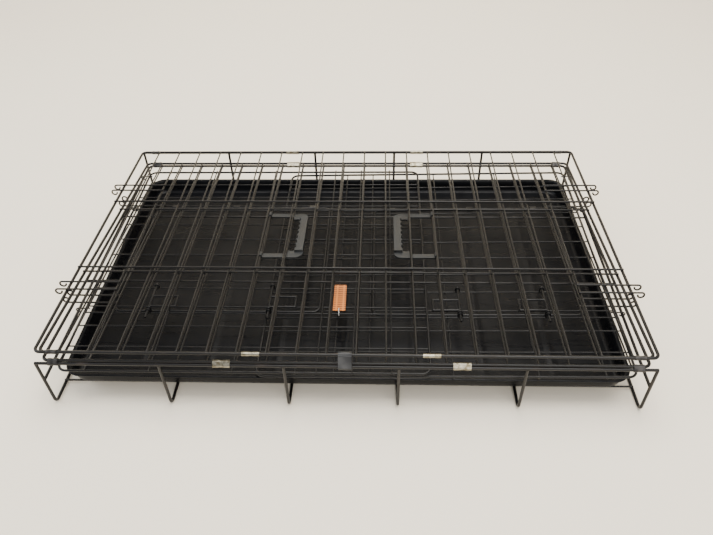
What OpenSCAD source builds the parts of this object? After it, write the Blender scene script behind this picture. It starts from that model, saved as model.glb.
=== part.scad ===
// Folding wire dog crate, folded flat. X runs along the length, +Y to the back, +Z up.
// The origin is on the floor under the middle of the crate. All sizes in millimetres.

/* [Crate] */
// Length of the floor between its corner legs
crate_l = 914; // [700:1:1150]
// Width of the floor between its long rims
crate_w = 584; // [440:1:720]
// Height of the rim wires above the floor
rim_h = 98; // [90:1:130]

/* [Wires] */
// Diameter of the frame wires
frame_d = 4.8; // [4:0.1:5.6]
// Diameter of the upright bars in the long panels
bar_d = 2.7; // [2:0.1:3.2]
// Diameter of the long rails in the long panels
rail_d = 3.2; // [2.4:0.1:3.6]
// Diameter of the frame wires in the end panels
end_frame_d = 4; // [3:0.1:4.4]
// Diameter of the fine wires in the end panels
end_wire_d = 2.4; // [2:0.1:2.8]
// Radius of the bends at the corners of a long panel
corner_r = 9; // [8:1:11]

/* [Long panels] */
// Distance between upright bars
bar_pitch = 44.2; // [35:0.1:60]
// Distance from the middle of a long panel to each rail
rail_y = 97; // [70:1:120]
// Drop of the inner side panel towards the back
inner_drop = 30.3; // [24:0.1:32]
// Gap between the outer side frame and the top frame, at each end
top_inset = 5; // [5:0.5:6]
// Height of the outer side panel above the rim at the front
front_rise = 16.8; // [15:0.1:24]
// Length of a hinge sleeve
sleeve_l = 26; // [18:1:30]
// Length of the hinge sleeves at the corners
corner_sleeve_l = 15; // [10:0.5:15]
// Wall of a hinge sleeve
sleeve_wall = 0.8; // [0.6:0.1:1.2]

/* [End panels] */
// Height of each end panel, hinge side to free side
end_h = 580; // [430:1:585]
// Gap between the end panels and the rims
end_gap = 18; // [14:1:30]
// Height of the end hinge bars above the floor
end_bar_h = 58; // [57:0.5:60]
// Width of a door opening
door_w = 300; // [200:1:330]
// Height of a door opening
door_h = 360; // [260:1:400]
// Travel of a door latch
latch_travel = 22; // [18:1:24]

/* [Pan] */
// Height of the pan
pan_h = 28; // [22:1:30]
// Thickness of the pan
pan_wall = 2.2; // [1.6:0.1:3]
// Gap between the pan and the rims
pan_gap = 19; // [17:1:30]

/* [Handles and clip] */
// Length of each handle along its grip
handle_l = 138; // [110:1:150]
// Width of each grip
grip_w = 15; // [12:1:17]
// Width of the closing clip
clip_w = 20; // [14:1:28]

/* [Hidden] */
$fn = 48;

wire_colour = [0.09, 0.09, 0.1];
plastic_colour = [0.14, 0.14, 0.15];
sleeve_colour = [0.62, 0.6, 0.55];
tag_colour = [0.85, 0.42, 0.12];

frame_r = frame_d / 2;
bar_r = bar_d / 2;
rail_r = rail_d / 2;
end_r = end_frame_d / 2;
fine_r = end_wire_d / 2;
bite = 0.1;
rim_y = crate_w / 2;
leg_x = crate_l / 2;
pair = frame_d + 0.1;

// hinge lines of the fold, as [y, z], all in the folded pose
diagonal = pair / sqrt(2);
hinge_base_inner = [-rim_y + diagonal, rim_h + diagonal];
hinge_base_outer = [rim_y - diagonal, rim_h + diagonal];
hinge_inset = 8;
// the top turns three quarters round here, so its wire stands off and to the back of the inner one
back_pair = frame_d + 1.2;
back_pair_tilt = 30;
leg_gap = 0.6;
inner_back = [rim_y - frame_d - leg_gap - back_pair * cos(back_pair_tilt), rim_h + diagonal - inner_drop];
hinge_inner_top = inner_back + back_pair * [cos(back_pair_tilt), sin(back_pair_tilt)];
hinge_top_outer = [-rim_y + hinge_inset, rim_h + front_rise];
top_front = [hinge_top_outer[0] + diagonal, hinge_top_outer[1] - diagonal];

outer_half_x = leg_x;
top_half_x = outer_half_x - top_inset;
inner_half_x = top_half_x - frame_d - 0.3;

// end panels: hinge bar, then a flat panel that lies inwards
end_half_y = rim_y - end_gap;
end_offset = 12;
left_free_h = end_bar_h + 1.5;
right_free_h = end_bar_h - 8;
end_bar_r = frame_r;
hook_gap = 0.5;
end_lift = end_bar_r + hook_gap - end_r + bite;
door_gap = 5;
door_low_y = -150;
door_near = 45;

pan_z = 16;
pan_half_y = rim_y - pan_gap - 1;
pan_half_x = leg_x - 12;
floor_r = frame_r;

function run(a, b) = norm(b - a);
function slope(a, b) = atan2(b[1] - a[1], b[0] - a[0]);
sleeve_end_gap = 0.5;
corner_sleeve_x = inner_half_x - corner_r - sleeve_end_gap - corner_sleeve_l / 2;
last_bar_x = corner_sleeve_x - corner_sleeve_l / 2 - sleeve_end_gap - bar_r;
bar_count = 2 * floor((last_bar_x - bar_pitch / 2) / bar_pitch) + 2;
function bar_x(i) = (i - (bar_count - 1) / 2) * bar_pitch;

module along_x(l, r) rotate([0, 90, 0]) cylinder(h = l, r = r, center = true);
module along_y(l, r) rotate([-90, 0, 0]) cylinder(h = l, r = r);
// puts its children in a long panel's plane: y from the front edge to the back edge
module in_plane(a, b) translate([0, a[0], a[1]]) rotate([slope(a, b), 0, 0]) children();

// a closed wire frame with bent corners, from y = 0 to y = l
module wire_loop(half_x, l, r, bend) {
    for (y = [0, l]) translate([0, y, 0]) along_x(2 * (half_x - bend), r);
    for (sx = [-1, 1]) {
        translate([sx * half_x, bend, 0]) along_y(l - 2 * bend, r);
        for (end = [0, 1])
            translate([sx * (half_x - bend), end == 0 ? bend : l - bend, 0])
                rotate([0, 0, sx > 0 ? (end == 0 ? 270 : 0) : (end == 0 ? 180 : 90)])
                    rotate_extrude(angle = 90) translate([bend, 0]) circle(r = r);
    }
}

// upright bars that butt against the front and back frame wires
module panel_bars(l, side) {
    for (i = [0 : bar_count - 1])
        translate([bar_x(i), frame_r - bite, side * (frame_r - bar_r)])
            along_y(l - 2 * (frame_r - bite), bar_r);
}

// rails that lie on the bars and across the two end wires of the frame
module panel_rails(half_x, l, side) {
    for (y = [l / 2 - rail_y, l / 2 + rail_y])
        translate([0, y, side * (frame_r + rail_r - bite)]) along_x(2 * (half_x + 1), rail_r);
}

// a hook: a straight tail on the bars and a curled eye outside the frame
hook_r = 1.5;
eye_r = 5;
module curled_hook(sx, half_x, side) {
    tail_in = bar_x(bar_count - 2) - 3;
    eye_x = half_x + 14;
    translate([0, 0, side * (frame_r + hook_r - bite)]) {
        translate([sx * (tail_in + eye_x) / 2, 0, 0]) along_x(eye_x - tail_in, hook_r);
        translate([sx * eye_x, 0, -side * eye_r])
            rotate([90, 0, 0]) rotate([0, 0, side > 0 ? (sx > 0 ? -180 : 90) : (sx > 0 ? -90 : 0)])
                rotate_extrude(angle = 270) translate([eye_r, 0]) circle(r = hook_r);
    }
}
hook_places = [38, 56];
module hook_set(half_x, l, side) {
    for (sx = [-1, 1], sy = [-1, 1], place = hook_places)
        translate([0, l / 2 + sy * (rail_y + place), 0]) curled_hook(sx, half_x, side);
}

// a crimped sleeve round two wires at the [y, z] points a and b
sleeve_waist = 0.03;
module sleeve_outline(a, b, r) {
    half = r - sleeve_waist;
    for (p = [a, b]) translate(p) circle(r = r);
    translate(a) rotate(slope(a, b)) translate([0, -half]) square([run(a, b), 2 * half]);
}
sleeve_fit = 0.08;
module sleeve(x, a, b, l, r, wall) {
    translate([x - l / 2, 0, 0]) rotate([90, 0, 90]) linear_extrude(l) difference() {
        sleeve_outline(a, b, r + wall);
        sleeve_outline(a, b, r);
    }
}
// four sleeves on a hinge line, each between two upright bars; the middle pair can move outwards
module sleeve_row(a, b, pitches = 3) {
    for (sx = [-1, 1]) {
        sleeve(sx * corner_sleeve_x, a, b, corner_sleeve_l, frame_r + sleeve_fit, sleeve_wall);
        sleeve(sx * pitches * bar_pitch, a, b, sleeve_l, frame_r + sleeve_fit, sleeve_wall);
    }
}

// ---- base ----
module base_rims() color(wire_colour)
    for (sy = [-1, 1]) translate([0, sy * rim_y, rim_h]) along_x(2 * leg_x + 2, frame_r);

cradle_x = [-leg_x, -0.594 * leg_x, -0.186 * leg_x, 0.186 * leg_x, 0.594 * leg_x, leg_x];
module cradle() {
    bend = 9;
    top = rim_h - frame_r + bite;
    translate([0, bend - rim_y, floor_r]) along_y(2 * (rim_y - bend), floor_r);
    for (sy = [-1, 1]) {
        translate([0, sy * rim_y, floor_r + bend]) cylinder(h = top - floor_r - bend, r = floor_r);
        translate([0, sy * (rim_y - bend), floor_r + bend]) rotate([0, 90, 0])
            rotate([0, 0, sy > 0 ? 0 : -90])
                rotate_extrude(angle = 90) translate([bend, 0]) circle(r = floor_r);
    }
}
module base_cradles() color(wire_colour) for (x = cradle_x) translate([x, 0, 0]) cradle();
module base_floor_rails() color(wire_colour)
    for (y = [-0.86, -0.52, -0.17, 0.17, 0.52, 0.86] * rim_y)
        translate([0, y, 2 * floor_r + rail_r - bite]) along_x(2 * leg_x + 1, rail_r);
module base_end_bars() color(wire_colour) for (sx = [-1, 1])
    translate([sx * leg_x, -rim_y + floor_r - bite, end_bar_h])
        along_y(2 * (rim_y - floor_r + bite), end_bar_r);
module base_side_sleeves() color(sleeve_colour)
    sleeve_row([-rim_y, rim_h], hinge_base_inner, 4);
// these stay on the back rim and are open above, where the outer side's wire lifts out
module base_back_sleeves() color(sleeve_colour) difference() {
    sleeve_row([rim_y, rim_h], hinge_base_outer);
    translate([0, hinge_base_outer[0], hinge_base_outer[1]]) rotate([-28, 0, 0])
        translate([-leg_x, -frame_r - 0.2, 0]) cube([2 * leg_x, 2 * frame_r + 0.4, 12]);
}

// ---- pan ----
module round_rect(hx, hy, r) {
    square([2 * (hx - r), 2 * hy], center = true);
    square([2 * hx, 2 * (hy - r)], center = true);
    for (sx = [-1, 1], sy = [-1, 1]) translate([sx * (hx - r), sy * (hy - r)]) circle(r = r);
}
module pan() color(plastic_colour) translate([0, 0, pan_z]) {
    difference() {
        union() {
            linear_extrude(pan_h) round_rect(pan_half_x - 5, pan_half_y - 5, 26);
            translate([0, 0, pan_h - pan_wall]) linear_extrude(pan_wall)
                round_rect(pan_half_x, pan_half_y, 31);
        }
        translate([0, 0, pan_wall]) linear_extrude(pan_h)
            round_rect(pan_half_x - 5 - pan_wall, pan_half_y - 5 - pan_wall, 24);
    }
    for (i = [-3 : 3]) translate([i * pan_half_x * 0.26 - 4, -pan_half_y + 45, pan_wall - 0.2])
        cube([8, 2 * pan_half_y - 90, 1.6]);
    // feet that rest on the floor rails
    for (x = [-0.7, 0, 0.7] * pan_half_x, y = [-0.52, 0.52] * rim_y)
        translate([x, y, -(pan_z - 2 * floor_r - 2 * rail_r)])
            cylinder(h = pan_z - 2 * floor_r - 2 * rail_r + 0.4, r = 9);
}

// ---- end panels, drawn with x from the hinge side to the free side ----
module end_plane(sx) {
    tilt = atan(((sx < 0 ? left_free_h : right_free_h) - end_bar_h) / end_h);
    translate([sx * leg_x, 0, end_bar_h]) mirror([sx > 0 ? 1 : 0, 0, 0]) rotate([0, -tilt, 0])
        children();
}
module in_end(sx) end_plane(sx) translate([0, 0, end_lift]) children();
end_bend = 14;
module end_frame_shape() {
    translate([end_offset + end_h / 2, 0, 0]) rotate([0, 0, 90]) translate([0, -end_h / 2, 0])
        wire_loop(end_half_y, end_h, end_r, end_bend);
}
opening_x = [end_offset + door_near, end_offset + door_near + door_h];
opening_y = [door_low_y, door_low_y + door_w];
fine_pitch = 45;
fine_count = 2 * floor((end_half_y - 20) / fine_pitch) + 1;
function fine_y(i) = (i - (fine_count - 1) / 2) * fine_pitch;
module fine_bar(x0, x1, y, side)
    translate([x0, y, side * (end_r - fine_r)]) rotate([0, 90, 0]) cylinder(h = x1 - x0, r = fine_r);
module end_bars_shape(side) {
    x0 = end_offset + end_r - bite;
    x1 = end_offset + end_h - end_r + bite;
    for (i = [0 : fine_count - 1]) {
        y = fine_y(i);
        if (y < opening_y[0] - 3 || y > opening_y[1] + 3) fine_bar(x0, x1, y, side);
        else {
            fine_bar(x0, opening_x[0] + fine_r, y, side);
            fine_bar(opening_x[1] - fine_r, x1, y, side);
        }
    }
    for (y = opening_y) fine_bar(x0, x1, y, side);
}
module end_rails_shape(side) {
    z = side * (end_r + fine_r - bite);
    for (x = [opening_x[0], opening_x[1], end_offset + end_h - 60, end_offset + end_h - 120])
        translate([x, -end_half_y - 1, z]) along_y(2 * (end_half_y + 1), fine_r);
    for (x = [opening_x[0] + door_h * 0.28, opening_x[0] + door_h * 0.64]) {
        translate([x, -end_half_y - 1, z]) along_y(opening_y[0] + fine_r + end_half_y + 1, fine_r);
        translate([x, opening_y[1] - fine_r, z])
            along_y(end_half_y + 1 - opening_y[1] + fine_r, fine_r);
    }
}
// curls that hold the panel on its hinge bar
module end_hooks_shape() {
    for (y = [-0.93, -0.52, 0.52, 0.93] * end_half_y) translate([0, y, 0]) {
        translate([0, 0, end_bar_r + hook_gap + fine_r]) rotate([0, 90, 0])
            cylinder(h = end_offset + 8, r = fine_r);
        rotate([90, 0, 0]) rotate([0, 0, 90]) rotate_extrude(angle = 250)
            translate([end_bar_r + hook_gap + fine_r, 0]) circle(r = fine_r);
    }
}
door_r = 1.8;
module door_frame_shape() {
    translate([(opening_x[0] + opening_x[1]) / 2, (opening_y[0] + opening_y[1]) / 2, 0])
        rotate([0, 0, 90]) translate([0, -door_h / 2 + door_gap, 0])
            wire_loop(door_w / 2 - door_gap, door_h - 2 * door_gap, door_r, 12);
}
module door_bars_shape(side) {
    for (i = [0 : fine_count - 1]) {
        y = fine_y(i);
        if (y > opening_y[0] + 14 && y < opening_y[1] - 14)
            translate([opening_x[0] + door_gap + door_r - bite, y, side * (door_r - fine_r)])
                rotate([0, 90, 0])
                    cylinder(h = door_h - 2 * (door_gap + door_r - bite), r = fine_r);
    }
    for (x = [opening_x[0] + door_h * 0.28, opening_x[0] + door_h * 0.64])
        translate([x, opening_y[0] + door_gap - 1, side * (door_r + fine_r - bite)])
            along_y(door_w - 2 * door_gap + 2, fine_r);
}
// loops that hold the door on the opening's back wire
door_hinge_l = 12;
door_hinge_fit = 0.45;
module door_hinges_shape() {
    for (x = [opening_x[0] + 40, opening_x[0] + door_h / 2 - 15, opening_x[1] - 40])
        sleeve(x, [opening_y[1] - door_gap, 0], [opening_y[1], 0], door_hinge_l,
            door_r + door_hinge_fit, sleeve_wall);
}
// a sliding bolt bent from one wire, with a pull loop, and the staples it runs in
latch_r = 1.9;
latch_z = end_r + 2 * fine_r + latch_r + 0.3;
staple_r = 1.1;
keeper_y = opening_y[0];
guide_y = [opening_y[0] + door_gap, -2 * fine_pitch];
bolt_from = keeper_y - latch_travel + 6;
bolt_to = guide_y[1] + 6;
loop_w = 44;
loop_from = guide_y[0] + staple_r + latch_r + 2;
loop_to = guide_y[1] - staple_r - latch_r - 1 - latch_travel;
module latch_shape(x) translate([x, 0, latch_z]) {
    translate([0, bolt_from, 0]) along_y(bolt_to - bolt_from, latch_r);
    translate([loop_w, loop_from, 0]) along_y(loop_to - loop_from, latch_r);
    for (y = [loop_from, loop_to]) {
        translate([loop_w / 2, y, 0]) along_x(loop_w, latch_r);
        translate([loop_w, y, 0]) sphere(r = latch_r);
    }
}
module staple(x, y, foot) translate([x, y, latch_z]) {
    reach = latch_r + 0.25 + staple_r;
    for (sx = [-1, 1]) translate([sx * reach, 0, foot - latch_z]) cylinder(h = latch_z - foot, r = staple_r);
    rotate([90, 0, 0]) rotate_extrude(angle = 180) translate([reach, 0]) circle(r = staple_r);
}
module keepers_shape(side, places)
    for (x = places) staple(x, keeper_y, side * (end_r - fine_r) + fine_r - bite);
module guides_shape(side, places) for (x = places) {
    staple(x, guide_y[0], door_r - bite);
    staple(x, guide_y[1], side * (door_r - fine_r) + fine_r - bite);
}
left_latch_x = [opening_x[1] - 90, opening_x[0] + 66];
right_latch_x = [opening_x[1] - 150, opening_x[0] + 66];

module end_left_frame() color(wire_colour) in_end(-1) end_frame_shape();
module end_left_bars() color(wire_colour) in_end(-1) end_bars_shape(1);
module end_left_rails() color(wire_colour) in_end(-1) end_rails_shape(1);
module end_left_hooks() color(wire_colour) end_plane(-1) end_hooks_shape();
module end_left_door_frame() color(wire_colour) in_end(-1) door_frame_shape();
module end_left_door_bars() color(wire_colour) in_end(-1) door_bars_shape(1);
module end_left_door_hinges() color(wire_colour) in_end(-1) door_hinges_shape();
module end_left_keepers() color(wire_colour) in_end(-1) keepers_shape(1, left_latch_x);
module end_left_guides() color(wire_colour) in_end(-1) guides_shape(1, left_latch_x);
module end_left_latch_front() color(wire_colour) in_end(-1) latch_shape(left_latch_x[0]);
module end_left_latch_rear() color(wire_colour) in_end(-1) latch_shape(left_latch_x[1]);
module end_right_frame() color(wire_colour) in_end(1) end_frame_shape();
module end_right_bars() color(wire_colour) in_end(1) end_bars_shape(-1);
module end_right_rails() color(wire_colour) in_end(1) end_rails_shape(-1);
module end_right_hooks() color(wire_colour) end_plane(1) end_hooks_shape();
module end_right_door_frame() color(wire_colour) in_end(1) door_frame_shape();
module end_right_door_bars() color(wire_colour) in_end(1) door_bars_shape(-1);
module end_right_door_hinges() color(wire_colour) in_end(1) door_hinges_shape();
module end_right_keepers() color(wire_colour) in_end(1) keepers_shape(-1, right_latch_x);
module end_right_guides() color(wire_colour) in_end(1) guides_shape(-1, right_latch_x);
module end_right_latch_front() color(wire_colour) in_end(1) latch_shape(right_latch_x[0]);
module end_right_latch_rear() color(wire_colour) in_end(1) latch_shape(right_latch_x[1]);

// ---- inner side panel, hinged on the front rim ----
inner_l = run(hinge_base_inner, inner_back);
module side_inner_frame() color(wire_colour) in_plane(hinge_base_inner, inner_back)
    wire_loop(inner_half_x, inner_l, frame_r, corner_r);
module side_inner_bars() color(wire_colour) in_plane(hinge_base_inner, inner_back)
    panel_bars(inner_l, -1);
module side_inner_rails() color(wire_colour) in_plane(hinge_base_inner, inner_back)
    panel_rails(inner_half_x, inner_l, -1);
module side_inner_hooks() color(wire_colour) in_plane(hinge_base_inner, inner_back)
    hook_set(inner_half_x, inner_l, -1);
module side_inner_sleeves() color(sleeve_colour) sleeve_row(inner_back, hinge_inner_top);

// ---- top panel ----
top_l = run(top_front, hinge_inner_top);
module in_top() in_plane(top_front, hinge_inner_top) children();
module top_frame() color(wire_colour) in_top() wire_loop(top_half_x, top_l, frame_r, corner_r);
module top_bars() color(wire_colour) in_top() panel_bars(top_l, 1);
module top_rails() color(wire_colour) in_top() panel_rails(top_half_x, top_l, 1);
module top_sleeves() color(sleeve_colour) sleeve_row(top_front, hinge_top_outer);

// a carrying handle that clips on one upright bar of the top and lies under the next
handle_bar = bar_x(bar_count / 2 + 3);
handle_grip_x = handle_bar - 2 * bar_pitch + bar_pitch / 2 + grip_w / 2;
handle_mid = top_l / 2 + 20;
arm_w = 11;
arm_t = 3.4;
module handle_outline() {
    reach = handle_bar - (handle_grip_x - grip_w);
    difference() {
        translate([-reach, -handle_l / 2]) union() {
            translate([14, 0]) square([reach - 14, arm_w]);
            translate([14, handle_l - arm_w]) square([reach - 14, arm_w]);
            translate([0, 14]) square([grip_w, handle_l - 28]);
            translate([14, 0]) square([grip_w - 6, handle_l]);
            for (y = [14, handle_l - 14]) translate([14, y]) circle(r = 14);
        }
        for (i = [-3 : 3]) translate([-reach + grip_w + 6, i * 14]) circle(r = 8.4);
    }
}
module grip_outline() {
    reach = handle_bar - (handle_grip_x - grip_w);
    intersection() {
        handle_outline();
        translate([-reach - 1, -handle_l / 2 + 15]) square([grip_w + 1, handle_l - 30]);
    }
}
module handle_shape() {
    low = frame_r - 2 * bar_r - 0.3 - arm_t;
    translate([handle_bar, handle_mid, 0]) {
        translate([0, 0, low]) linear_extrude(arm_t) difference() {
            handle_outline();
            translate([-6.4, -handle_l]) square([20, 2 * handle_l]);
        }
        translate([0, 0, low]) linear_extrude(8.6) grip_outline();
        // an eye round the bar at the end of each arm
        for (y = [-handle_l / 2, handle_l / 2 - arm_w]) translate([0, y, 0]) difference() {
            union() {
                translate([0, 0, frame_r - bar_r]) along_y(arm_w, bar_r + 1.9);
                translate([-7, 0, low]) cube([7, arm_w, arm_t]);
            }
            translate([0, -1, frame_r - bar_r]) along_y(arm_w + 2, bar_r + 0.06);
        }
    }
}
module handle_right() color(plastic_colour) in_top() handle_shape();
module handle_left() color(plastic_colour) mirror([1, 0, 0]) in_top() handle_shape();

// ---- outer side panel, uppermost when folded ----
outer_l = run(hinge_top_outer, hinge_base_outer);
module in_outer() in_plane(hinge_top_outer, hinge_base_outer) children();
module side_outer_frame() color(wire_colour) in_outer()
    wire_loop(outer_half_x, outer_l, frame_r, corner_r);
module side_outer_bars() color(wire_colour) in_outer() panel_bars(outer_l, 1);
module side_outer_rails() color(wire_colour) in_outer() panel_rails(outer_half_x, outer_l, 1);
module side_outer_hooks() color(wire_colour) in_outer() hook_set(outer_half_x, outer_l, 1);

// ---- closing clip: turns on the outer side's front wire and hooks over the rim from in front ----
// its upper ring goes halfway round its wire and leaves room for the top's front wire in the fold
clip_x = 6;
clip_t = 2.6;
clip_fit = 0.12;
rim_fit = 0.3;
upper_ring = [14, 194];
lower_ring = [80, 200];
strip_in = 4.2;
module clip_ring(centre, r, ends)
    translate(centre) rotate([0, 0, ends[0]]) rotate_extrude(angle = ends[1] - ends[0])
        translate([r, 0]) square([clip_t, clip_w]);
module closing_clip() color(plastic_colour) translate([clip_x - clip_w / 2, 0, 0]) rotate([90, 0, 90]) {
    rim = [-rim_y, rim_h];
    clip_ring(hinge_top_outer, frame_r + clip_fit, upper_ring);
    clip_ring(rim, frame_r + rim_fit, lower_ring);
    translate(rim) rotate([0, 0, slope(rim, hinge_top_outer)])
        translate([0, strip_in, 0]) cube([run(rim, hinge_top_outer), clip_t, clip_w]);
}

// ---- blank hang tag on a tie, round the front wire of the left end panel's opening ----
tag_x = 445;
tag_w = 21;
tag_l = 62;
tag_t = 0.8;
tag_hole = 9.5;
tag_edge = 3.5;
tie_r = 6;
module hang_tag() color(tag_colour) in_end(-1)
    translate([tag_x - tag_w / 2, opening_y[0] + tag_hole - tag_edge, end_r]) difference() {
        cube([tag_w, tag_l, tag_t]);
        translate([tag_w / 2, tag_edge, -1]) cylinder(h = tag_t + 2, r = 1.8);
    }
module hang_tag_tie() color(plastic_colour) in_end(-1)
    translate([tag_x, opening_y[0] + tag_hole - tie_r, end_r]) rotate([0, 90, 0])
        rotate_extrude() translate([tie_r, 0]) circle(r = 0.6, $fn = 16);

base_rims();
base_cradles();
base_floor_rails();
base_end_bars();
base_side_sleeves();
base_back_sleeves();
pan();
end_left_frame();
end_left_bars();
end_left_rails();
end_left_hooks();
end_left_door_frame();
end_left_door_bars();
end_left_door_hinges();
end_left_keepers();
end_left_guides();
end_left_latch_front();
end_left_latch_rear();
end_right_frame();
end_right_bars();
end_right_rails();
end_right_hooks();
end_right_door_frame();
end_right_door_bars();
end_right_door_hinges();
end_right_keepers();
end_right_guides();
end_right_latch_front();
end_right_latch_rear();
side_inner_frame();
side_inner_bars();
side_inner_rails();
side_inner_hooks();
side_inner_sleeves();
top_frame();
top_bars();
top_rails();
top_sleeves();
handle_left();
handle_right();
side_outer_frame();
side_outer_bars();
side_outer_rails();
side_outer_hooks();
closing_clip();
hang_tag();
hang_tag_tie();
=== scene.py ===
import math

import bmesh
import bpy
from mathutils import Matrix, Vector


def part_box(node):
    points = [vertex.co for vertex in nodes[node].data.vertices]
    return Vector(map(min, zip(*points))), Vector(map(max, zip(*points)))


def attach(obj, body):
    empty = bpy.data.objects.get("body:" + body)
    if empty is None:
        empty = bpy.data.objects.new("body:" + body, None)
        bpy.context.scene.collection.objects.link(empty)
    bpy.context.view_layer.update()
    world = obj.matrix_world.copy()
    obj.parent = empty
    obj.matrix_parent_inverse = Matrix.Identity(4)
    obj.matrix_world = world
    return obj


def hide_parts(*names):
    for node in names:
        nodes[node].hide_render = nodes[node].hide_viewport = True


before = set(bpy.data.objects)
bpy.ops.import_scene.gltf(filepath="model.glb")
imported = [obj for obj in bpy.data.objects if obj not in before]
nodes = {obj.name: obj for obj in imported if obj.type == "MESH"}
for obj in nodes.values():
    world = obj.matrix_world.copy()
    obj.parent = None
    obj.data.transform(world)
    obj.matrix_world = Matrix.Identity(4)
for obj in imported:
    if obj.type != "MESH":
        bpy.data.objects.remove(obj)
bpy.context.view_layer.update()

# ---- Black wire: the base, the panels, their hooks, doors and latches ----
# Drawn steel wire, cut, bent and spot-welded, then dipped in a black baked coating. The coating
# is smooth with a fine ripple and thins to brown-grey where wires rub.


EFFECT_OUTPUTS = [("Colour", "NodeSocketColor"), ("Roughness", "NodeSocketFloat"),
                  ("Height", "NodeSocketFloat")]
BUMP_STRENGTH = 0.35


def new_group(name, inputs, outputs):
    """A shader group with named sockets, and its input and output nodes."""
    group = bpy.data.node_groups.new(name, "ShaderNodeTree")
    for label, kind, value in inputs:
        socket = group.interface.new_socket(label, in_out="INPUT", socket_type=kind)
        socket.default_value = value
    for label, kind in outputs:
        group.interface.new_socket(label, in_out="OUTPUT", socket_type=kind)
    start = group.nodes.new("NodeGroupInput")
    end = group.nodes.new("NodeGroupOutput")
    return group, start, end


def add(tree, kind, **values):
    """A node with its settings and, in 'sockets', the values of its inputs."""
    made = tree.nodes.new(kind)
    sockets = values.pop("sockets", {})
    for key, value in values.items():
        setattr(made, key, value)
    for key, value in sockets.items():
        made.inputs[key].default_value = value
    return made


def ramp(tree, source, low, high):
    """A mask that rises from 0 at low to 1 at high."""
    made = add(tree, "ShaderNodeMapRange", sockets={"From Min": low, "From Max": high})
    made.interpolation_type = "SMOOTHSTEP"
    tree.links.new(source, made.inputs["Value"])
    return made.outputs["Result"]


def mix(tree, factor, a, b):
    """A colour between a and b, which are colours or sockets."""
    made = add(tree, "ShaderNodeMix", data_type="RGBA")
    tree.links.new(factor, made.inputs["Factor"])
    for socket, value in ((made.inputs[6], a), (made.inputs[7], b)):
        if isinstance(value, bpy.types.NodeSocket):
            tree.links.new(value, socket)
        else:
            socket.default_value = value
    return made.outputs[2]


def worn_coating():
    """Patches of rubbed coating and fine ripple, as colour, roughness and height."""
    group, start, end = new_group(
        "Worn coating",
        [("Colour", "NodeSocketColor", (0.01, 0.01, 0.01, 1)),
         ("Rubbed colour", "NodeSocketColor", (0.1, 0.08, 0.06, 1)),
         ("Patch scale", "NodeSocketFloat", 20.0),
         ("Ripple scale", "NodeSocketFloat", 900.0),
         ("Rubbed share", "NodeSocketFloat", 0.3),
         ("Smooth roughness", "NodeSocketFloat", 0.25),
         ("Rubbed roughness", "NodeSocketFloat", 0.5)],
        EFFECT_OUTPUTS)
    place = add(group, "ShaderNodeTexCoord").outputs["Object"]
    patches = add(group, "ShaderNodeTexNoise", sockets={"Detail": 6.0, "Roughness": 0.62})
    ripple = add(group, "ShaderNodeTexNoise", sockets={"Detail": 2.0})
    for noise, scale in ((patches, "Patch scale"), (ripple, "Ripple scale")):
        group.links.new(place, noise.inputs["Vector"])
        group.links.new(start.outputs[scale], noise.inputs["Scale"])
    rubbed = ramp(group, patches.outputs["Fac"], 0.5, 0.72)
    share = add(group, "ShaderNodeMath", operation="MULTIPLY")
    group.links.new(rubbed, share.inputs[0])
    group.links.new(start.outputs["Rubbed share"], share.inputs[1])
    colour = mix(group, share.outputs[0], start.outputs["Colour"], start.outputs["Rubbed colour"])
    rough = add(group, "ShaderNodeMapRange")
    group.links.new(rubbed, rough.inputs["Value"])
    group.links.new(start.outputs["Smooth roughness"], rough.inputs["To Min"])
    group.links.new(start.outputs["Rubbed roughness"], rough.inputs["To Max"])
    group.links.new(colour, end.inputs["Colour"])
    group.links.new(rough.outputs["Result"], end.inputs["Roughness"])
    group.links.new(ripple.outputs["Fac"], end.inputs["Height"])
    return group


coating_group = worn_coating()


def new_material(name, **shader_values):
    """A material with its node tree and its Principled shader."""
    material = bpy.data.materials.new(name)
    material.use_nodes = True
    tree = material.node_tree
    shader = tree.nodes["Principled BSDF"]
    for key, value in shader_values.items():
        shader.inputs[key.replace("_", " ")].default_value = value
    return material, tree, shader


def lay_effect(tree, shader, group, depth, **values):
    """Places an effect group with its values and feeds colour, roughness and bump from it."""
    effect = add(tree, "ShaderNodeGroup", node_tree=group)
    for key, value in values.items():
        effect.inputs[key.replace("_", " ")].default_value = value
    tree.links.new(effect.outputs["Colour"], shader.inputs["Base Color"])
    tree.links.new(effect.outputs["Roughness"], shader.inputs["Roughness"])
    bump = add(tree, "ShaderNodeBump", sockets={"Strength": BUMP_STRENGTH, "Distance": depth})
    tree.links.new(effect.outputs["Height"], bump.inputs["Height"])
    tree.links.new(bump.outputs["Normal"], shader.inputs["Normal"])


COATING_RIPPLE = 0.0001
COATING_RIPPLE_SCALE = 1400.0
RUBBED_ROUGHNESS = 0.52


def wire_coating(name, colour, rubbed, share, smooth, scale):
    """The black baked coating, with patches of the given scale and share rubbed."""
    material, tree, shader = new_material(name, Specular_IOR_Level=0.26, Coat_Roughness=0.2)
    shader.inputs["Coat Weight"].default_value = 0.06
    lay_effect(tree, shader, coating_group, COATING_RIPPLE, Colour=colour, Rubbed_colour=rubbed,
               Patch_scale=scale, Ripple_scale=COATING_RIPPLE_SCALE, Rubbed_share=share,
               Smooth_roughness=smooth, Rubbed_roughness=RUBBED_ROUGHNESS)
    return material


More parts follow.
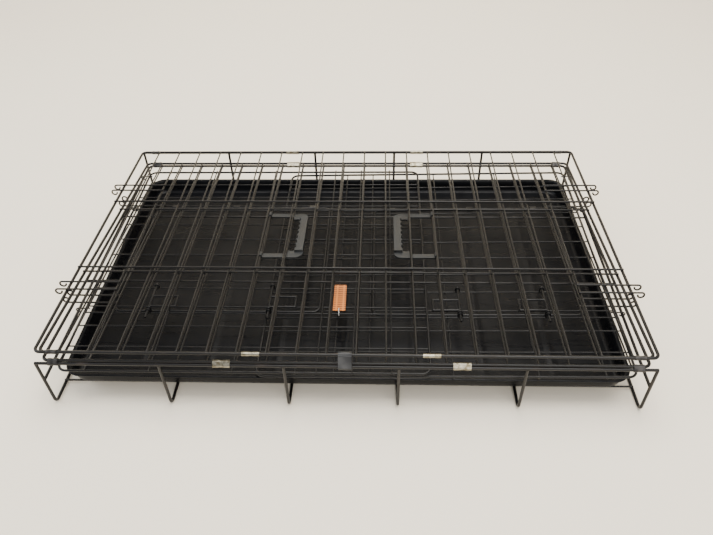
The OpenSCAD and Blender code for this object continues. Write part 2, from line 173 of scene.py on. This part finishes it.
panel_wire = wire_coating("panel_wire_coating", (0.0045, 0.0042, 0.0042, 1),
                          (0.022, 0.016, 0.012, 1), 0.4, 0.33, 38.0)
base_wire = wire_coating("base_wire_coating", (0.0055, 0.005, 0.005, 1), (0.034, 0.025, 0.019, 1),
                         0.5, 0.35, 30.0)
fine_wire = wire_coating("end_wire_coating", (0.004, 0.004, 0.0045, 1), (0.018, 0.015, 0.013, 1),
                         0.3, 0.33, 52.0)


def coat(material, *names):
    """Gives CAD nodes their material."""
    for name in names:
        piece = nodes[name]
        piece.data.materials.clear()
        piece.data.materials.append(material)


coat(base_wire, "base_rims", "base_cradles", "base_floor_rails", "base_end_bars")
END_PARTS = ("frame", "bars", "rails", "hooks", "door_frame", "door_bars", "door_hinges", "keepers",
             "guides", "latch_front", "latch_rear")
for side in ("left", "right"):
    coat(fine_wire, *[f"end_{side}_{part}" for part in END_PARTS])
for panel in ("side_inner", "side_outer", "top"):
    coat(panel_wire, *[f"{panel}_{part}" for part in ("frame", "bars", "rails")])
coat(panel_wire, "side_inner_hooks", "side_outer_hooks")

# ---- Welds: where bars and rails cross, and where bars meet the frame wires ----
# Each joint of the panels is a resistance spot weld. A little steel is pressed out round the
# crossing and is coated over with the wire, so it shows as a small soft collar.
WELD_RINGS = 5
WELD_SIDES = 8
WELD_WAVE = 0.12
# a collar's half length, half width and half height, as shares of the wires' radii
END_WELD = (1.5, 1.35, 1.2)
CROSS_WELD = (1.5, 1.35, 0.55)
END_WELD_INSET = 0.5
CROSS_WELD_OFFSET = 0.85
WIRE_END_REACH = 0.002
SAME_POINT = 1e-6


def add_nugget(mesh, centre, along, across, up, size):
    """A squat lump with a wavy outline, longest along the bar."""
    rows = []
    for ring in range(1, WELD_RINGS):
        turn = math.pi * ring / WELD_RINGS
        row = []
        for side in range(WELD_SIDES):
            angle = 2 * math.pi * side / WELD_SIDES
            swell = 1 + WELD_WAVE * math.sin(3 * angle + centre.x * 90)
            at = (along * (math.cos(turn) * size[0])
                  + across * (math.sin(turn) * math.cos(angle) * size[1] * swell)
                  + up * (math.sin(turn) * math.sin(angle) * size[2] * swell))
            row.append(mesh.verts.new(centre + at))
        rows.append(row)
    tips = [mesh.verts.new(centre + along * (sign * size[0])) for sign in (1, -1)]
    for side in range(WELD_SIDES):
        after = (side + 1) % WELD_SIDES
        mesh.faces.new((tips[0], rows[0][side], rows[0][after]))
        mesh.faces.new((tips[1], rows[-1][after], rows[-1][side]))
        for low, high in zip(rows, rows[1:]):
            mesh.faces.new((low[side], high[side], high[after], low[after]))


def islands(name):
    """The separate wires of a CAD node, as lists of their points."""
    mesh = bmesh.new()
    mesh.from_mesh(nodes[name].data)
    bmesh.ops.remove_doubles(mesh, verts=mesh.verts, dist=SAME_POINT)
    found = []
    seen = set()
    for first in mesh.verts:
        if first in seen:
            continue
        seen.add(first)
        queue = [first]
        points = []
        while queue:
            vert = queue.pop()
            points.append(vert.co.copy())
            for edge in vert.link_edges:
                other = edge.other_vert(vert)
                if other not in seen:
                    seen.add(other)
                    queue.append(other)
        found.append(points)
    mesh.free()
    return found


def wire_ends(points, axis):
    """The middle of a straight wire's two ends, and its radius."""
    low = min(p[axis] for p in points)
    high = max(p[axis] for p in points)
    ends = []
    for place in (low, high):
        near = [p for p in points if abs(p[axis] - place) < WIRE_END_REACH]
        ends.append(sum(near, Vector()) / len(near))
    radius = max((p - ends[0]).length for p in points if abs(p[axis] - low) < WIRE_END_REACH)
    return ends[0], ends[1], radius


def finish_piece(name, mesh, material):
    """Turns a bmesh into a smooth-shaded object with its material."""
    data = bpy.data.meshes.new(name)
    bmesh.ops.recalc_face_normals(mesh, faces=mesh.faces)
    mesh.to_mesh(data)
    mesh.free()
    data.materials.append(material)
    data.polygons.foreach_set("use_smooth", [True] * len(data.polygons))
    piece = bpy.data.objects.new(name, data)
    bpy.context.scene.collection.objects.link(piece)
    return piece


def panel_welds(panel, body):
    """Collars at every crossing of a long panel's bars with its rails and frame wires."""
    bars = [wire_ends(points, 1) for points in islands(f"{panel}_bars")]
    rails = [wire_ends(points, 0) for points in islands(f"{panel}_rails")]
    mesh = bmesh.new()
    for front, back, radius in bars:
        along = (back - front).normalized()
        across = Vector((1, 0, 0))
        up = across.cross(along)
        for end, sign in ((front, 1), (back, -1)):
            add_nugget(mesh, end + along * (sign * radius * END_WELD_INSET), along, across, up,
                       [radius * share for share in END_WELD])
        for start, _, rail_radius in rails:
            share = (start.y - front.y) / (back.y - front.y)
            crossing = front.lerp(back, share)
            rail_side = 1 if (start - crossing).dot(up) > 0 else -1
            crossing += up * (rail_side * radius * CROSS_WELD_OFFSET)
            add_nugget(mesh, crossing, across, along, up,
                       (radius * CROSS_WELD[0], rail_radius * CROSS_WELD[1],
                        radius * CROSS_WELD[2]))
    piece = finish_piece(f"{panel}_welds", mesh, panel_wire)
    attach(piece, body)


for panel in ("side_inner", "top", "side_outer"):
    panel_welds(panel, panel)

# ---- Hinge sleeves ----
# Short strips of zinc-plated sheet, crimped round two neighbouring wires so that one can turn in
# them. The middle ones are bright and lightly tarnished, and those at the corners were coated
# with the panels. A press mark in each strip keeps it from sliding along its wires.


def brushed_metal():
    """Fine scratches along the strip and soft tarnish, as colour, roughness and height."""
    group, start, end = new_group(
        "Brushed metal",
        [("Bright", "NodeSocketColor", (0.6, 0.57, 0.5, 1)),
         ("Tarnish", "NodeSocketColor", (0.3, 0.27, 0.2, 1)),
         ("Tarnish scale", "NodeSocketFloat", 120.0),
         ("Low roughness", "NodeSocketFloat", 0.22),
         ("High roughness", "NodeSocketFloat", 0.45)],
        EFFECT_OUTPUTS)
    place = add(group, "ShaderNodeTexCoord").outputs["Object"]
    stretch = add(group, "ShaderNodeMapping", sockets={"Scale": (60.0, 2500.0, 2500.0)})
    group.links.new(place, stretch.inputs["Vector"])
    scratch = add(group, "ShaderNodeTexNoise", sockets={"Scale": 1.0, "Detail": 3.0})
    group.links.new(stretch.outputs["Vector"], scratch.inputs["Vector"])
    blotch = add(group, "ShaderNodeTexNoise", sockets={"Detail": 4.0})
    group.links.new(place, blotch.inputs["Vector"])
    group.links.new(start.outputs["Tarnish scale"], blotch.inputs["Scale"])
    mask = ramp(group, blotch.outputs["Fac"], 0.4, 0.68)
    colour = mix(group, mask, start.outputs["Bright"], start.outputs["Tarnish"])
    rough = add(group, "ShaderNodeMapRange", sockets={"From Min": 0.3, "From Max": 0.7})
    group.links.new(scratch.outputs["Fac"], rough.inputs["Value"])
    group.links.new(start.outputs["Low roughness"], rough.inputs["To Min"])
    group.links.new(start.outputs["High roughness"], rough.inputs["To Max"])
    group.links.new(colour, end.inputs["Colour"])
    group.links.new(rough.outputs["Result"], end.inputs["Roughness"])
    group.links.new(scratch.outputs["Fac"], end.inputs["Height"])
    return group


brushed_group = brushed_metal()
SCRATCH_DEPTH = 0.00005
bright_zinc, tree, shader = new_material("bright_zinc", Metallic=1.0)
lay_effect(tree, shader, brushed_group, SCRATCH_DEPTH, Bright=(0.30, 0.28, 0.22, 1),
           Tarnish=(0.13, 0.11, 0.07, 1), Tarnish_scale=150.0, Low_roughness=0.2,
           High_roughness=0.42)
coated_zinc, tree, shader = new_material("coated_zinc", Metallic=0.55)
lay_effect(tree, shader, brushed_group, SCRATCH_DEPTH, Bright=(0.045, 0.042, 0.04, 1),
           Tarnish=(0.014, 0.013, 0.013, 1), Tarnish_scale=90.0, Low_roughness=0.28,
           High_roughness=0.5)

SLEEVE_NODES = {"base_side_sleeves": "base", "base_back_sleeves": "base",
                "side_inner_sleeves": "side_inner", "top_sleeves": "top"}
CORNER_X = 0.38
CRIMP_DEPTH = 0.00036
CRIMP_LENGTH = 0.0045
CRIMP_REACH = 0.55
SLEEVE_REACH = 0.02
SLEEVE_SHARP = math.radians(35)


def crimped(name, body):
    """A copy of a row of sleeves with a press mark round the middle of each strip."""
    piece = nodes[name].copy()
    piece.data = nodes[name].data.copy()
    for key in list(piece.keys()):
        del piece[key]
    piece.name = f"{name}_crimped"
    piece.parent = None
    bpy.context.scene.collection.objects.link(piece)
    mesh = bmesh.new()
    mesh.from_mesh(piece.data)
    bmesh.ops.remove_doubles(mesh, verts=mesh.verts, dist=SAME_POINT)
    middles = sorted({round(sum(p.x for p in points) / len(points), 4)
                      for points in islands(name)})
    marks = [m + half * CRIMP_LENGTH / 2 for m in middles for half in (-2, -1, 0, 1, 2)]
    for place in marks:
        everything = mesh.verts[:] + mesh.edges[:] + mesh.faces[:]
        bmesh.ops.bisect_plane(mesh, geom=everything, dist=1e-7, plane_co=(place, 0, 0),
                               plane_no=(1, 0, 0))
    bands = {m: [v for v in mesh.verts if abs(v.co.x - m) < SLEEVE_REACH] for m in middles}
    for middle, band in bands.items():
        centre = sum((v.co for v in band), Vector()) / len(band)
        reach = max((v.co - centre).yz.length for v in band)
        for vert in band:
            share = max(0.0, 1 - abs(vert.co.x - middle) / CRIMP_LENGTH)
            outward = Vector((0, vert.co.y - centre.y, vert.co.z - centre.z))
            if outward.length > reach * CRIMP_REACH:
                vert.co -= outward.normalized() * (CRIMP_DEPTH * share * share * (3 - 2 * share))
    for face in mesh.faces:
        face.material_index = 1 if abs(face.calc_center_median().x) > CORNER_X else 0
        face.smooth = True
    piece.data.materials.clear()
    for material in (bright_zinc, coated_zinc):
        piece.data.materials.append(material)
    mesh.to_mesh(piece.data)
    mesh.free()
    piece.data.set_sharp_from_angle(angle=SLEEVE_SHARP)
    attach(piece, body)
    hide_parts(name)


for name, body in SLEEVE_NODES.items():
    crimped(name, body)

# ---- Pan ----
# One sheet of black plastic, vacuum-formed into a shallow tray: rounded corners, sides that lean
# out to a flat rim, and shallow ribs across the floor that stiffen it. It lies on the floor rails
# and slides out at the end. Its face is glossy, with faint scuffs from use.
pan_low, pan_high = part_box("pan")
pan_shell = (pan_high - pan_low) / 2
pan_top = pan_high.z
PAN_FLOOR = 0.0182
PAN_SHEET = 0.0022
LIP_ROOM = 0.00022
CORNER_STEPS = 8
COLUMN_STEP = 0.0028
RIB_PITCH = 0.112
RIB_HALF = 0.007
RIB_RISE = 0.0016
RIB_FADE = 0.02
RIB_REACH = 0.88
TRAY_ROWS = 14


def corner_cut(x, half_x, half_y, corner):
    """How far a rounded rectangle reaches along Y at x."""
    past = max(0.0, abs(x) - (half_x - corner))
    return half_y - corner + math.sqrt(max(0.0, corner ** 2 - past ** 2))


def tray_columns(half_x, corner):
    """Places along X: close together round the corners and evenly spaced between them."""
    places = [half_x - corner + corner * math.sin(math.pi / 2 * i / CORNER_STEPS)
              for i in range(1, CORNER_STEPS + 1)]
    inner = half_x - corner
    steps = 2 * round(inner / COLUMN_STEP)
    middle = [inner * (2 * i / steps - 1) for i in range(steps + 1)]
    return [-p for p in reversed(places)] + middle + places


def rib_height(x, y, half_y):
    """How far the floor stands up in a rib across the pan."""
    offset = abs((x / RIB_PITCH + 0.5) % 1 - 0.5) * RIB_PITCH
    side = max(0.0, 1 - (offset / RIB_HALF) ** 2)
    end = min(1.0, max(0.0, (half_y - abs(y)) / RIB_FADE))
    return RIB_RISE * side * end


def make_pan():
    """The tray as rings from the lip down to the floor, then the ribbed floor itself."""
    mesh = bmesh.new()
    # inset, corner radius and height of each ring, from the lip's underside to the floor
    profile = [(0.0004, 0.0300, pan_top - PAN_SHEET), (0.0, 0.0310, pan_top - PAN_SHEET / 2),
               (0.0006, 0.0300, pan_top - 0.0002), (0.0016, 0.029, pan_top),
               (0.0056, 0.026, pan_top), (0.0068, 0.0255, pan_top - 0.0012),
               (0.0084, 0.0245, pan_top - 0.010), (0.0100, 0.0238, PAN_FLOOR + 0.005),
               (0.0120, 0.0225, PAN_FLOOR + 0.0012), (0.0165, 0.0195, PAN_FLOOR)]
    base_half = pan_shell.x - profile[-1][0]
    columns = tray_columns(base_half, profile[-1][1])
    rows = TRAY_ROWS
    rings = []
    for inset, corner, height in profile:
        half_x, half_y = pan_shell.x - inset, pan_shell.y - inset
        scale = half_x / base_half
        front = [mesh.verts.new((x * scale, -corner_cut(x * scale, half_x, half_y, corner), height))
                 for x in columns]
        back = [mesh.verts.new((x * scale, corner_cut(x * scale, half_x, half_y, corner), height))
                for x in columns]
        ends = [[mesh.verts.new((sign * half_x, (half_y - corner) * (2 * j / rows - 1), height))
                 for j in range(1, rows)] for sign in (1, -1)]
        rings.append(front + ends[0] + back[::-1] + ends[1][::-1])
    for low, high in zip(rings, rings[1:]):
        for i in range(len(low)):
            after = (i + 1) % len(low)
            mesh.faces.new((low[i], low[after], high[after], high[i]))
    # the floor, row by row between the innermost ring's front and back edges
    inner = rings[-1]
    count = len(columns)
    front, back = inner[:count], inner[count + rows - 1:2 * count + rows - 1][::-1]
    right_end, left_end = inner[count:count + rows - 1], inner[2 * count + rows - 1:][::-1]
    grid = []
    for i, (near, far) in enumerate(zip(front, back)):
        line = [near]
        for j in range(1, rows):
            if i == 0:
                line.append(left_end[j - 1])
            elif i == count - 1:
                line.append(right_end[j - 1])
            else:
                at = near.co.lerp(far.co, j / rows)
                at.z += rib_height(at.x, at.y, pan_shell.y * RIB_REACH)
                line.append(mesh.verts.new(at))
        grid.append(line + [far])
    for i in range(count - 1):
        for j in range(rows):
            mesh.faces.new((grid[i][j], grid[i + 1][j], grid[i + 1][j + 1], grid[i][j + 1]))
    piece = finish_piece("pan_tray", mesh, pan_plastic)
    sheet = piece.modifiers.new("sheet", "SOLIDIFY")
    sheet.thickness = PAN_SHEET - LIP_ROOM
    sheet.offset = -1.0
    return piece


def scuffed_gloss():
    """Moulded gloss with long faint scuffs and dust, as colour, roughness and height."""
    group, start, end = new_group(
        "Scuffed gloss",
        [("Colour", "NodeSocketColor", (0.01, 0.01, 0.012, 1)),
         ("Dust", "NodeSocketColor", (0.12, 0.12, 0.12, 1)),
         ("Dust amount", "NodeSocketFloat", 0.2),
         ("Low roughness", "NodeSocketFloat", 0.15),
         ("High roughness", "NodeSocketFloat", 0.4),
         ("Wave scale", "NodeSocketFloat", 9.0)],
        EFFECT_OUTPUTS)
    place = add(group, "ShaderNodeTexCoord").outputs["Object"]
    stretch = add(group, "ShaderNodeMapping",
                  sockets={"Scale": (6.0, 90.0, 30.0), "Rotation": (0, 0, 0.35)})
    group.links.new(place, stretch.inputs["Vector"])
    scuffs = add(group, "ShaderNodeTexNoise",
                 sockets={"Scale": 1.4, "Detail": 8.0, "Roughness": 0.7})
    group.links.new(stretch.outputs["Vector"], scuffs.inputs["Vector"])
    dust = add(group, "ShaderNodeTexNoise",
               sockets={"Scale": 14.0, "Detail": 9.0, "Roughness": 0.75})
    waves = add(group, "ShaderNodeTexNoise", sockets={"Detail": 2.0})
    group.links.new(place, dust.inputs["Vector"])
    group.links.new(place, waves.inputs["Vector"])
    group.links.new(start.outputs["Wave scale"], waves.inputs["Scale"])
    mask = ramp(group, dust.outputs["Fac"], 0.45, 0.8)
    amount = add(group, "ShaderNodeMath", operation="MULTIPLY")
    group.links.new(mask, amount.inputs[0])
    group.links.new(start.outputs["Dust amount"], amount.inputs[1])
    colour = mix(group, amount.outputs[0], start.outputs["Colour"], start.outputs["Dust"])
    rough = add(group, "ShaderNodeMapRange", sockets={"From Min": 0.35, "From Max": 0.7})
    group.links.new(scuffs.outputs["Fac"], rough.inputs["Value"])
    group.links.new(start.outputs["Low roughness"], rough.inputs["To Min"])
    group.links.new(start.outputs["High roughness"], rough.inputs["To Max"])
    group.links.new(colour, end.inputs["Colour"])
    group.links.new(rough.outputs["Result"], end.inputs["Roughness"])
    group.links.new(waves.outputs["Fac"], end.inputs["Height"])
    return group


gloss_group = scuffed_gloss()
SHEET_WAVE = 0.004
pan_plastic, tree, shader = new_material("pan_gloss_plastic", Specular_IOR_Level=0.13)
lay_effect(tree, shader, gloss_group, SHEET_WAVE, Colour=(0.0028, 0.003, 0.0038, 1),
           Dust=(0.014, 0.015, 0.018, 1), Dust_amount=0.2, Low_roughness=0.24,
           High_roughness=0.42, Wave_scale=7.0)
pan_piece = make_pan()
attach(pan_piece, "pan")
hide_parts("pan")

# ---- Handles and closing clip ----
# Injection-moulded dark grey plastic with a fine spark-eroded grain and softened edges. Each
# handle snaps on one bar of the top, and its grip has finger scallops inside. The clip hangs on
# the outer side's front wire and hooks over the front rim to keep the folded crate shut.


def moulded_grain():
    """A fine even grain with slightly polished patches, as colour, roughness and height."""
    group, start, end = new_group(
        "Moulded grain",
        [("Colour", "NodeSocketColor", (0.05, 0.05, 0.055, 1)),
         ("Polished colour", "NodeSocketColor", (0.035, 0.035, 0.04, 1)),
         ("Grain scale", "NodeSocketFloat", 2600.0),
         ("Low roughness", "NodeSocketFloat", 0.4),
         ("High roughness", "NodeSocketFloat", 0.6)],
        EFFECT_OUTPUTS)
    place = add(group, "ShaderNodeTexCoord").outputs["Object"]
    grain = add(group, "ShaderNodeTexVoronoi")
    polish = add(group, "ShaderNodeTexNoise", sockets={"Scale": 35.0, "Detail": 5.0})
    group.links.new(place, grain.inputs["Vector"])
    group.links.new(start.outputs["Grain scale"], grain.inputs["Scale"])
    group.links.new(place, polish.inputs["Vector"])
    mask = ramp(group, polish.outputs["Fac"], 0.4, 0.7)
    colour = mix(group, mask, start.outputs["Colour"], start.outputs["Polished colour"])
    rough = add(group, "ShaderNodeMapRange")
    group.links.new(mask, rough.inputs["Value"])
    group.links.new(start.outputs["High roughness"], rough.inputs["To Min"])
    group.links.new(start.outputs["Low roughness"], rough.inputs["To Max"])
    group.links.new(colour, end.inputs["Colour"])
    group.links.new(rough.outputs["Result"], end.inputs["Roughness"])
    group.links.new(grain.outputs["Distance"], end.inputs["Height"])
    return group


grain_group = moulded_grain()
GRAIN_DEPTH = 0.0002
handle_plastic, tree, shader = new_material("handle_grained_plastic", Specular_IOR_Level=0.3)
lay_effect(tree, shader, grain_group, GRAIN_DEPTH, Colour=(0.020, 0.0215, 0.022, 1),
           Polished_colour=(0.013, 0.014, 0.0145, 1), Low_roughness=0.38, High_roughness=0.56)
clip_plastic, tree, shader = new_material("clip_grained_plastic", Specular_IOR_Level=0.45)
lay_effect(tree, shader, grain_group, GRAIN_DEPTH, Colour=(0.012, 0.012, 0.013, 1),
           Polished_colour=(0.007, 0.007, 0.008, 1), Low_roughness=0.34, High_roughness=0.55)


BEVEL_STEPS = 3
BEVEL_ANGLE = math.radians(40)
FLAT_ANGLE = math.radians(1.0)


def softened(name, body, material, radius):
    """A copy of a moulded CAD node with its edges rounded as a mould leaves them."""
    data = nodes[name].data.copy()
    piece = bpy.data.objects.new(f"{name}_moulded", data)
    bpy.context.scene.collection.objects.link(piece)
    mesh = bmesh.new()
    mesh.from_mesh(data)
    bmesh.ops.remove_doubles(mesh, verts=mesh.verts, dist=SAME_POINT)
    bmesh.ops.dissolve_limit(mesh, angle_limit=FLAT_ANGLE, verts=mesh.verts, edges=mesh.edges)
    mesh.to_mesh(data)
    mesh.free()
    data.materials.clear()
    data.materials.append(material)
    data.polygons.foreach_set("use_smooth", [True] * len(data.polygons))
    edge = piece.modifiers.new("edge", "BEVEL")
    edge.width = radius
    edge.segments = BEVEL_STEPS
    edge.limit_method = "ANGLE"
    edge.angle_limit = BEVEL_ANGLE
    edge.harden_normals = True
    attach(piece, body)
    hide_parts(name)


HANDLE_EDGE = 0.0012
CLIP_EDGE = 0.0005
for name in ("handle_left", "handle_right"):
    softened(name, "top", handle_plastic, HANDLE_EDGE)
softened("closing_clip", "closing_clip", clip_plastic, CLIP_EDGE)

# ---- Hang tag and its tie ----
# A blank card tag in orange, with plain ruled bands printed across it, on a thin plastic tie
# round the front wire of the left end panel's opening.
tag_card, tree, shader = new_material("tag_card_orange", Specular_IOR_Level=0.4)
place = add(tree, "ShaderNodeTexCoord").outputs["Object"]
bands = add(tree, "ShaderNodeTexWave", bands_direction="Y", wave_type="BANDS",
            sockets={"Scale": 62.0, "Distortion": 0.0})
cross_bands = add(tree, "ShaderNodeTexWave", bands_direction="X", wave_type="BANDS",
                  sockets={"Scale": 28.0, "Distortion": 0.0})
fibres = add(tree, "ShaderNodeTexNoise", sockets={"Scale": 900.0, "Detail": 3.0})
for texture in (bands, cross_bands, fibres):
    tree.links.new(place, texture.inputs["Vector"])
CARD_ORANGE = (0.50, 0.15, 0.02, 1)
BARE_ORANGE = (0.54, 0.17, 0.025, 1)
BAND_BROWN = (0.10, 0.025, 0.005, 1)
ruled = mix(tree, ramp(tree, bands.outputs["Fac"], 0.55, 0.85), CARD_ORANGE, BAND_BROWN)
printed = mix(tree, ramp(tree, cross_bands.outputs["Fac"], 0.82, 0.9), ruled, BARE_ORANGE)
tree.links.new(printed, shader.inputs["Base Color"])
card_rough = add(tree, "ShaderNodeMapRange", sockets={"To Min": 0.32, "To Max": 0.55})
tree.links.new(fibres.outputs["Fac"], card_rough.inputs["Value"])
tree.links.new(card_rough.outputs["Result"], shader.inputs["Roughness"])
card_bump = add(tree, "ShaderNodeBump", sockets={"Strength": 0.3, "Distance": 0.0001})
tree.links.new(fibres.outputs["Fac"], card_bump.inputs["Height"])
tree.links.new(card_bump.outputs["Normal"], shader.inputs["Normal"])
coat(tag_card, "hang_tag")
tie_plastic, tree, shader = new_material("tie_grained_plastic", Specular_IOR_Level=0.5)
TIE_GRAIN_DEPTH = 0.00005
lay_effect(tree, shader, grain_group, TIE_GRAIN_DEPTH, Colour=(0.6, 0.58, 0.54, 1),
           Polished_colour=(0.5, 0.48, 0.45, 1), Low_roughness=0.3, High_roughness=0.45)
coat(tie_plastic, "hang_tag_tie")

# ---- Floor, light and camera ----
# A plain warm cream floor that runs up into a pale wall, and soft light from wide panels above.
floor_material, tree, shader = new_material("floor_paper", Specular_IOR_Level=0.2)
shader.inputs["Roughness"].default_value = 0.85
shader.inputs["Base Color"].default_value = (0.88, 0.80, 0.66, 1)
mesh = bmesh.new()
FLOOR_FRONT = -3.5
FLOOR_HALF = 4.5
WALL_Y = 1.9
WALL_TOP = 4.5
CURVE = 0.5
CURVE_STEPS = 12
turns = [math.pi / 2 * i / CURVE_STEPS for i in range(1, CURVE_STEPS + 1)]
profile = [(FLOOR_FRONT, 0.0), (WALL_Y - CURVE, 0.0)]
profile += [(WALL_Y - CURVE + CURVE * math.sin(t), CURVE - CURVE * math.cos(t)) for t in turns]
profile += [(WALL_Y, WALL_TOP)]
left = [mesh.verts.new((-FLOOR_HALF, y, z)) for y, z in profile]
right = [mesh.verts.new((FLOOR_HALF, y, z)) for y, z in profile]
for i in range(len(profile) - 1):
    mesh.faces.new((left[i], right[i], right[i + 1], left[i + 1]))
floor = finish_piece("studio_floor", mesh, floor_material)


def soft_panel(name, place, aim, size, power, colour):
    """A rectangular area light at a place, turned towards what it lights."""
    light = bpy.data.lights.new(name, "AREA")
    light.shape = "RECTANGLE"
    light.size, light.size_y = size
    light.energy = power
    light.color = colour
    lamp = bpy.data.objects.new(name, light)
    bpy.context.scene.collection.objects.link(lamp)
    lamp.location = place
    lamp.rotation_euler = (Vector(aim) - Vector(place)).to_track_quat("-Z", "Y").to_euler()


soft_panel("overhead", (0.3, 0.2, 2.6), (0, 0, 0), (2.6, 1.8), 130, (1.0, 0.97, 0.92))
soft_panel("window", (-2.2, -0.2, 1.7), (0, 0, 0.1), (1.4, 1.2), 30, (0.86, 0.93, 1.0))
soft_panel("front_fill", (0.8, -2.2, 1.7), (0, 0, 0.1), (1.6, 1.2), 26, (1.0, 0.96, 0.9))
world = bpy.data.worlds.new("studio")
bpy.context.scene.world = world
world.use_nodes = True
background = world.node_tree.nodes["Background"]
background.inputs["Color"].default_value = (0.93, 0.94, 0.97, 1)
background.inputs["Strength"].default_value = 0.85

SENSOR_MM = 36
LENS_MM = 32.25
CAMERA_AT = Vector((0.0573, -0.8877, 0.8325))
PITCH, YAW, ROLL = (math.radians(a) for a in (42.07, -2.91, -1.64))
level = Vector((math.cos(YAW), -math.sin(YAW), 0))
ahead = Vector((math.sin(YAW) * math.cos(PITCH), math.cos(YAW) * math.cos(PITCH), -math.sin(PITCH)))
upright = level.cross(ahead)
right_axis = math.cos(ROLL) * level + math.sin(ROLL) * upright
up_axis = math.cos(ROLL) * upright - math.sin(ROLL) * level
camera_data = bpy.data.cameras.new("camera")
camera_data.sensor_width = SENSOR_MM
camera_data.lens = LENS_MM
camera = bpy.data.objects.new("camera", camera_data)
bpy.context.scene.collection.objects.link(camera)
turn = Matrix((right_axis, up_axis, -ahead)).transposed()
camera.matrix_world = Matrix.Translation(CAMERA_AT) @ turn.to_4x4()
bpy.context.scene.camera = camera
